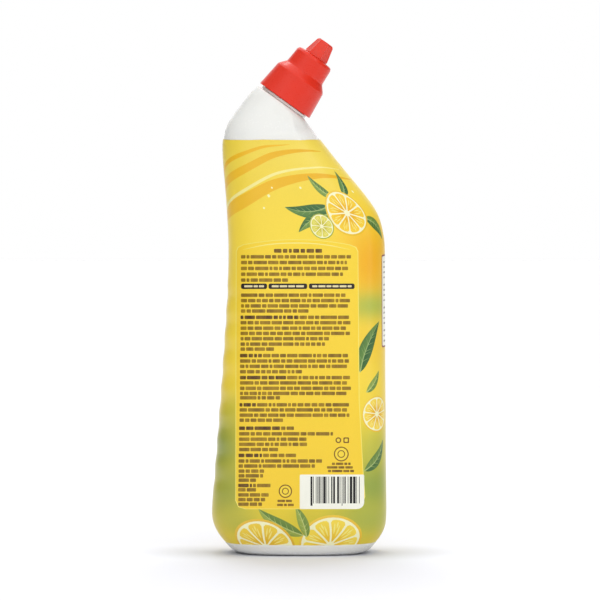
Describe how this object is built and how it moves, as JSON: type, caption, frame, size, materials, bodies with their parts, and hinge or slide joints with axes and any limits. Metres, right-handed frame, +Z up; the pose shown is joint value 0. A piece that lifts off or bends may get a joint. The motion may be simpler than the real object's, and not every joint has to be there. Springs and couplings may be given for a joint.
{
  "type": "toilet cleaner bottle",
  "caption": "Bent-neck squeeze bottle of cleaning gel in a printed shrink sleeve, with a screw-on nozzle closure, a sealing ring and a push-on tip cap.",
  "frame": {"origin": "centre of the outline's footprint, on the surface that the bottle stands on", "axes": "+Z up along the bottle's height, +X towards the side that the neck and nozzle lean to, -Y towards the face with the text panel"},
  "size_m": [0.0938, 0.058, 0.2752],
  "materials": {
    "bottle_white": "satin blow-moulded polyethylene, warm white",
    "sleeve_print": "glossy printed shrink film, yellow ground with ribbons, leaves and citrus slices",
    "gel": "clear pale yellow-green thickened cleaning gel",
    "gasket_foam": "closed-cell polyethylene foam ring",
    "closure_red": "satin injection-moulded polypropylene, bright red",
    "tip_red": "glossy injection-moulded polypropylene, bright red"
  },
  "bodies": {
    "bottle": {"bottle": "bottle_white", "shrink_sleeve": "sleeve_print", "cleaner_gel": "gel"},
    "sealing_ring": {"neck_gasket": "gasket_foam"},
    "closure": {"nozzle_closure": "closure_red"},
    "tip": {"tip_cap": "tip_red"}
  },
  "joints": [
    {"name": "closure_rise", "type": "slide", "parent": "bottle", "child": "sealing_ring", "axis": [0.5807, 0, 0.8141], "range_m": [0, 0.00634]},
    {"name": "closure_turn", "type": "hinge", "parent": "sealing_ring", "child": "closure", "pos_m": [-0.00768, 0, 0.2419], "axis": [0.5807, 0, 0.8141], "range_deg": [0, 540]},
    {"name": "tip_pull", "type": "slide", "parent": "closure", "child": "tip", "axis": [0.5807, 0, 0.8141], "range_m": [0, 0.015]}
  ],
  "couplings": [
    {"joint": "closure_turn", "follows": "closure_rise", "rad_per_m": 1485.4}
  ]
}
